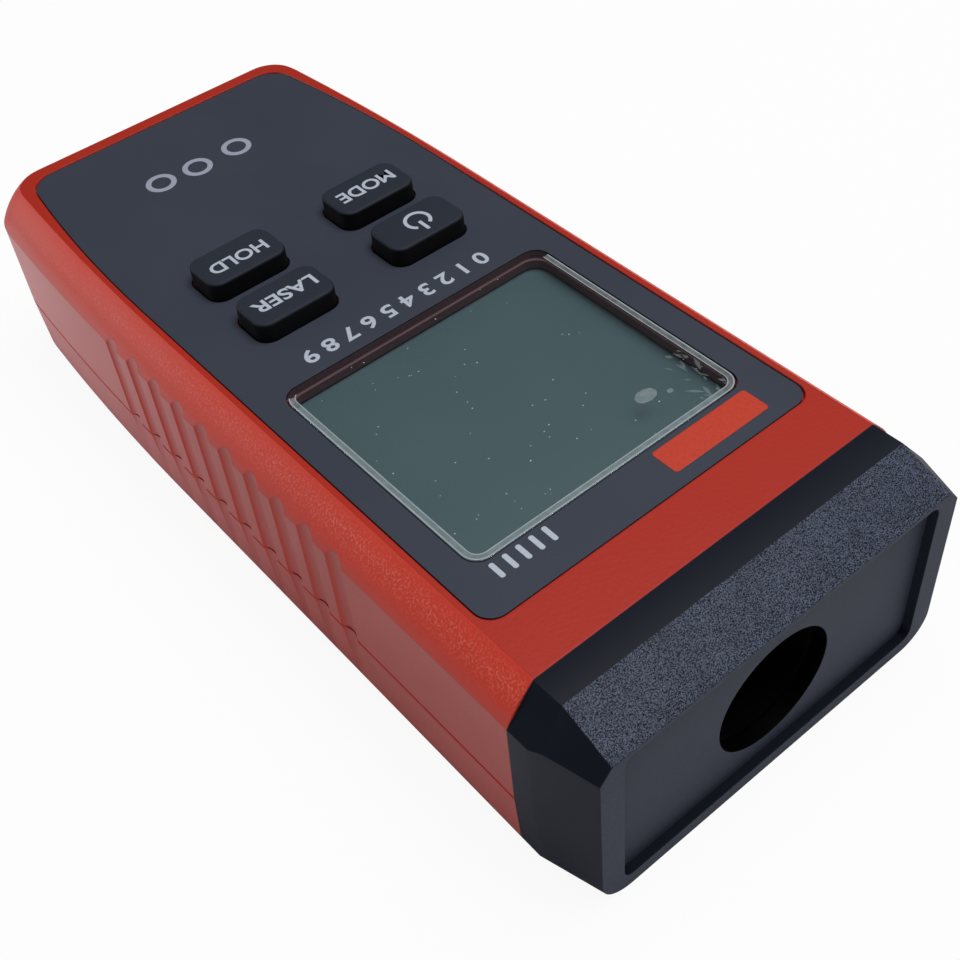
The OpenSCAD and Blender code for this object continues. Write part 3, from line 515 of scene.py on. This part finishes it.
def key(name, cx, cy):
    """A key with a flange under the plate, soft edges and a flat top."""
    taper = 0.03
    taper_from = 29.5
    edge_low = CROWN - KEY_EDGE
    steps = [(-FLANGE, FLANGE_LOW), (-FLANGE, FLANGE_TOP), (0.0, FLANGE_TOP), (0.0, taper_from),
             (taper, edge_low - 0.1)]
    for k in range(1, 8):
        a = math.radians(90 * k / 7)
        steps.append((taper + KEY_EDGE * (1 - math.cos(a)), edge_low + KEY_EDGE * math.sin(a)))
    rings = [placed(rounded(KEY_W - 2 * inset, KEY_L - 2 * inset, KEY_R - inset), cx, cy, z)
             for inset, z in steps]
    inset = taper + KEY_EDGE
    top = rounded(KEY_W - 2 * inset, KEY_L - 2 * inset, KEY_R - inset)
    for k in (1, 2, 3):
        rings.append([(cx + x * (1 - k / 4), cy + y * (1 - k / 4), CROWN) for x, y in top])
    o = piece("key_cap_" + name, *stack(rings), MATS["key_plastic"], "key_%s_body" % name,
              "key_plastic")
    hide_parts("key_" + name)


for label, (cx, cy) in KEYS.items():
    key(label, cx, cy)


# Print on the keys and the face
ink = plain("ink", srgb(176, 184, 198), 0.5, 0.0, 3000.0, 0.06)
ink_dim = plain("ink_dim", srgb(150, 155, 172), 0.5, 0.0, 3000.0, 0.06)
patch_red = plain("patch_red", srgb(188, 50, 22), 0.45, 0.0, 2500.0, 0.05)
PRINT_SUNK = 0.01
PRINT_RISE = 0.025


def lettering(name, text, x, y, z, width, height, body):
    """Words of a given width and height, in millimetres, centred at a place."""
    cu = bpy.data.curves.new(name, "FONT")
    cu.body = text
    cu.size = height * MM
    cu.align_x = "CENTER"
    cu.extrude = 0.015 * MM
    cu.offset = 0.025 * MM * height
    tmp = bpy.data.objects.new(name + "_t", cu)
    scene.collection.objects.link(tmp)
    bpy.context.view_layer.update()
    me = bpy.data.meshes.new_from_object(tmp.evaluated_get(bpy.context.evaluated_depsgraph_get()))
    bpy.data.objects.remove(tmp)
    me.name = name
    xs = [v.co.x for v in me.vertices]
    ys = [v.co.y for v in me.vertices]
    me.transform(Matrix.Translation((x * MM, y * MM, (z + PRINT_SUNK) * MM))
                 @ Matrix.Diagonal((width * MM / (max(xs) - min(xs)),
                                    height * MM / (max(ys) - min(ys)), 1.0, 1.0))
                 @ Matrix.Translation((-(max(xs) + min(xs)) / 2, -(max(ys) + min(ys)) / 2, 0.0)))
    me.materials.clear()
    me.materials.append(ink.m)
    o = bpy.data.objects.new(name, me)
    scene.collection.objects.link(o)
    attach(o, body)


def ring_sector(name, cx, cy, z, r, w, a0, a1, body, mat, n=40):
    """A printed arc of a given radius and line width, from angle a0 to a1 in degrees."""
    v, f = [], []
    for i in range(n + 1):
        a = math.radians(a0 + (a1 - a0) * i / n)
        for rr in (r - w / 2, r + w / 2):
            for zz in (z - PRINT_SUNK, z + PRINT_RISE):
                v.append((cx + rr * math.cos(a), cy + rr * math.sin(a), zz))
    for i in range(n):
        p = 4 * i
        f += [(p, p + 4, p + 5, p + 1), (p + 2, p + 3, p + 7, p + 6),
              (p + 1, p + 5, p + 7, p + 3), (p, p + 2, p + 6, p + 4)]
    f += [(0, 1, 3, 2), (4 * n, 4 * n + 2, 4 * n + 3, 4 * n + 1)]
    piece(name, v, f, mat, body)


def bar(name, cx, cy, z, w, l, body, mat, r=0.12, rise=PRINT_RISE):
    """A printed bar with round corners."""
    pts = rounded(w, l, r, 4)
    piece(name, *stack([placed(pts, cx, cy, z - PRINT_SUNK), placed(pts, cx, cy, z + rise)]), mat,
          body)


KEY_PRINT_Z = KEY_TOP - 0.043
power_x, power_y = KEYS["power"][0] - 0.25, KEYS["power"][1] - 0.15
ring_sector("mark_power_ring", power_x, power_y, KEY_PRINT_Z, 1.75, 0.55, -235, 55,
            "key_power_body", ink)
bar("mark_power_bar", power_x, power_y + 1.45, KEY_PRINT_Z, 0.55, 2.3, "key_power_body", ink)
for label, dy, width, height in (("mode", -0.20, 9.2, 2.5), ("hold", 0.40, 8.8, 2.4),
                                 ("laser", -0.05, 9.6, 2.4)):
    cx, cy = KEYS[label]
    lettering("mark_" + label, label.upper(), cx, cy + dy, KEY_PRINT_Z, width, height,
              "key_%s_body" % label)
lettering("mark_scale", "0 1 2 3 4 5 6 7 8 9", 0.0, lens_low[1] - 3.45, PLATE, 30.0, 2.7, "case")
bar("plain_patch", -12.2, lens_high[1] + 3.05, PLATE, 15.4, 4.2, "case", patch_red, 0.5, 0.03)
for i in range(5):
    bar("mark_dot_%d" % (i + 1), 11.9 + 1.9 * i, lens_high[1] + 1.95, PLATE, 0.7, 2.5, "case",
        ink, 0.3)
for i, (x, from_tail) in enumerate(((7.8, 14.65), (1.7, 15.05), (-5.4, 14.75))):
    ring_sector("mark_ring_%d" % (i + 1), x, PLATE_TAIL + from_tail, PLATE, 1.9, 0.85, 0, 359.9,
                "case", ink_dim)

# A dark sheet lining the display opening as painted shade on its walls, which steps in under the
# lens and goes down to the display
LENS_GAP = 0.1
SHADE_LINER_SKIN = 0.04
LENS_LEDGE = 0.4
SHADE_LINER_TOP = PLATE - 0.05
SHADE_LINER_STEP = lens_low[2] + 0.01
SHADE_LINER_FOOT = 27.45
shade_liner = []
for inset, z in ((SHADE_LINER_SKIN, SHADE_LINER_TOP), (SHADE_LINER_SKIN, SHADE_LINER_STEP),
                 (SHADE_LINER_SKIN + LENS_LEDGE, SHADE_LINER_STEP), (SHADE_LINER_SKIN + LENS_LEDGE, SHADE_LINER_FOOT)):
    grow = 2 * (LENS_GAP - inset)
    shade_liner.append(placed(rounded(LENS_W + grow, LENS_L + grow, LENS_R - inset * 0.1), 0.0, WIN_Y, z))
piece("window_liner", *stack(shade_liner, caps=False), MATS["window_liner"], "case")

# The edge of the lens, with painted highlight strips where it catches light
RIM_Z = PLATE + 0.006
rim_glint = plain("lens_rim", srgb(158, 168, 174), 0.3, 0.0, 700.0, 0.12)


def rim(name, out, width, finish):
    """A flat strip along the nose end and the near side of the lens, painted as the highlight where
    it catches light.
    """
    lines = [placed(rounded(LENS_W - 2 * d, LENS_L - 2 * d, LENS_R - d), 0.0, WIN_Y, RIM_Z)
             for d in (out + width, out)]
    n = len(lines[0])
    nose_end, near_side, tail_corner = 15.0, 19.0, -17.6

    def near(p):
        x, y = p[0], p[1] - WIN_Y
        return y > nose_end or (x > near_side and y > tail_corner)

    keep = [i for i in range(n) if near(lines[1][i]) or near(lines[1][(i + 1) % n])]
    piece(name, lines[0] + lines[1], [(i, (i + 1) % n, n + (i + 1) % n, n + i) for i in keep],
          finish, "case", "clear_plastic")


rim("lens_rim_outer", 0.05, 0.16, rim_glint)
rim("lens_rim_inner", 0.80, 0.12, rim_glint)

# Protective film over the window, with air bubbles, creases and dust; the bubbles are painted pale
# as reflection, and the creases as whitish highlight streaks
FILM_MARGIN = 0.4
FILM_Z = PLATE + 0.02
BUBBLE_EDGE_Z = PLATE + 0.035
BUBBLE_TOP_Z = PLATE + 0.07
MARK_Z = PLATE + 0.036
CREASES = 26
SPECKS = 60
film_w, film_l = LENS_W - 2 * FILM_MARGIN, LENS_L - 2 * FILM_MARGIN
sheet = placed(rounded(film_w, film_l, 1.6), 0.0, WIN_Y, FILM_Z)
film = clear("film", (0.98, 0.99, 0.99, 1.0), ior=1.12, gloss_rough=0.10)
piece("protective_film", sheet, [tuple(range(len(sheet)))], film, "case", "clear_plastic")

# Painted reflection: bubbles are a pale haze under the film.
air = haze("air", 0.26)
# Painted highlight: creases show as whitish streaks.
crease_glint = haze("crease_glint", 0.15)
dust = haze("dust", 0.80)
# A pale band inside the lens rim is a painted reflection on the lens edge.
rim("lens_rim_band", 0.21, 0.59, haze("rim_glint_haze", 0.25))


def bubble(name, cx, cy, rx, ry, seed, n=28):
    """An uneven low dome under the film, painted pale as reflection."""
    rnd = random.Random(seed)
    verts = [(cx, WIN_Y + cy, BUBBLE_TOP_Z)]
    for i in range(n):
        a = 2 * math.pi * i / n
        k = 1 + 0.08 * (rnd.random() - 0.5)
        verts.append((cx + rx * k * math.cos(a), WIN_Y + cy + ry * k * math.sin(a),
                      BUBBLE_EDGE_Z))
    faces = [(0, 1 + i, 1 + (i + 1) % n) for i in range(n)]
    piece(name, verts, faces, air, "case", "clear_plastic")


def film_marks():
    """Creases in the far corner of the film, painted as whitish highlight streaks, and specks of
    dust all over it.
    """
    rnd = random.Random(11)
    verts, faces = [], []
    side = film_w / 2 - 0.1
    end = WIN_Y + film_l / 2 - 0.1
    for _ in range(CREASES):
        x = 0.3 - film_w / 2 + (0.9 + 3.2 * rnd.random() ** 2) * (1 if rnd.random() > 0.3 else 2.4)
        y = end - 0.15 - rnd.random() ** 1.4 * 9.0
        a = rnd.uniform(-0.5, 0.9) + math.pi / 2
        length, width = rnd.uniform(0.5, 2.2), rnd.uniform(0.08, 0.30)
        dx, dy = math.cos(a), math.sin(a)
        p = len(verts)
        for along, share in ((-0.5, 0.2), (0.0, 1.0), (0.5, 0.2)):
            cx, cy = x + dx * length * along + 0.12 * abs(along), y + dy * length * along
            for q in (-1, 1):
                half = width * share * q
                verts.append((min(side, max(-side, cx - dy * half)), min(end, cy + dx * half),
                              MARK_Z))
        faces += [(p, p + 2, p + 3, p + 1), (p + 2, p + 4, p + 5, p + 3)]
    piece("film_marks", verts, faces, crease_glint, "case", "clear_plastic")

    verts, faces = [], []
    for _ in range(SPECKS):
        x, y = rnd.uniform(-19.8, 19.8), WIN_Y + rnd.uniform(-17.5, 17.8)
        r = rnd.uniform(0.07, 0.14)
        p = len(verts)
        verts += [(x - r, y, MARK_Z), (x, y - r * 0.8, MARK_Z), (x + r, y, MARK_Z),
                  (x, y + r * 0.8, MARK_Z)]
        faces.append((p, p + 1, p + 2, p + 3))
    piece("film_dust", verts, faces, dust, "case", "clear_plastic")


bubble("film_bubble", -10.9, 12.45, 1.55, 1.05, 3)
bubble("film_bubble_small", -13.6, 13.85, 0.45, 0.35, 4)
film_marks()

# The camera sees the floor nearly white, with a faint shadow of the object
floor_finish = Mat("floor")
floor_finish.surface(floor_finish.join(
    floor_finish.times(floor_finish.seen(), 0.93),
    floor_finish.shader("BsdfDiffuse", Color=(0.82, 0.82, 0.83, 1.0)),
    floor_finish.shader("Emission", Color=WHITE)))
floor_mesh = bpy.data.meshes.new("floor")
floor_mesh.from_pydata([(-3, -3, 0), (3, -3, 0), (3, 3, 0), (-3, 3, 0)], [], [(0, 1, 2, 3)])
floor_mesh.materials.append(floor_finish.m)
floor = bpy.data.objects.new("floor", floor_mesh)
scene.collection.objects.link(floor)

# The world lights the object a little, and the camera sees it white
world = bpy.data.worlds.new("world")
world.use_nodes = True
scene.world = world
sky = Net(world.node_tree)
sky.link(sky.join(sky.seen(), sky.shader("Background", Color=WHITE, Strength=0.13),
                  sky.shader("Background", Color=WHITE, Strength=1.0)),
         sky.node("ShaderNodeOutputWorld").inputs["Surface"])


def area(name, loc, target, size, power):
    """A soft rectangular lamp aimed at a place, in metres and watts."""
    lamp = bpy.data.lights.new(name, "AREA")
    lamp.shape = "RECTANGLE"
    lamp.size, lamp.size_y = size
    lamp.energy = power
    o = bpy.data.objects.new(name, lamp)
    o.location = loc
    o.rotation_euler = (Vector(target) - Vector(loc)).to_track_quat("-Z", "Y").to_euler()
    scene.collection.objects.link(o)


area("lamp_over", (-0.15, 0.10, 0.75), (0, 0, 0.02), (0.50, 0.50), 5.3)
area("lamp_low", (0.22, -0.28, 0.08), (0.02, -0.03, 0.02), (0.20, 0.06), 0.2)

# The camera, fitted to the outline of the photograph
PICTURE = 960
SENSOR = 36
FOCAL_PIXELS = 1376.19
CAMERA_AT = Vector((74.470, 120.465, 143.984)) * MM
CAMERA_AIM = Vector((12.35, 32.06, 30.0)) * MM
LEVEL = math.radians(144.90)
ROLL = math.radians(-6.46)
back = (CAMERA_AT - CAMERA_AIM).normalized()
level = Vector((math.cos(LEVEL), math.sin(LEVEL), 0.0))
upright = back.cross(level)
right = math.cos(ROLL) * level + math.sin(ROLL) * upright
up = -math.sin(ROLL) * level + math.cos(ROLL) * upright
cam_data = bpy.data.cameras.new("camera")
cam_data.lens = FOCAL_PIXELS / PICTURE * SENSOR
cam_data.sensor_width = SENSOR
cam_data.clip_start = 0.005
cam = bpy.data.objects.new("camera", cam_data)
cam.matrix_world = Matrix([(right[i], up[i], back[i], CAMERA_AT[i]) for i in range(3)]
                          + [(0, 0, 0, 1)])
scene.collection.objects.link(cam)
scene.camera = cam
scene.view_settings.view_transform = "Standard"
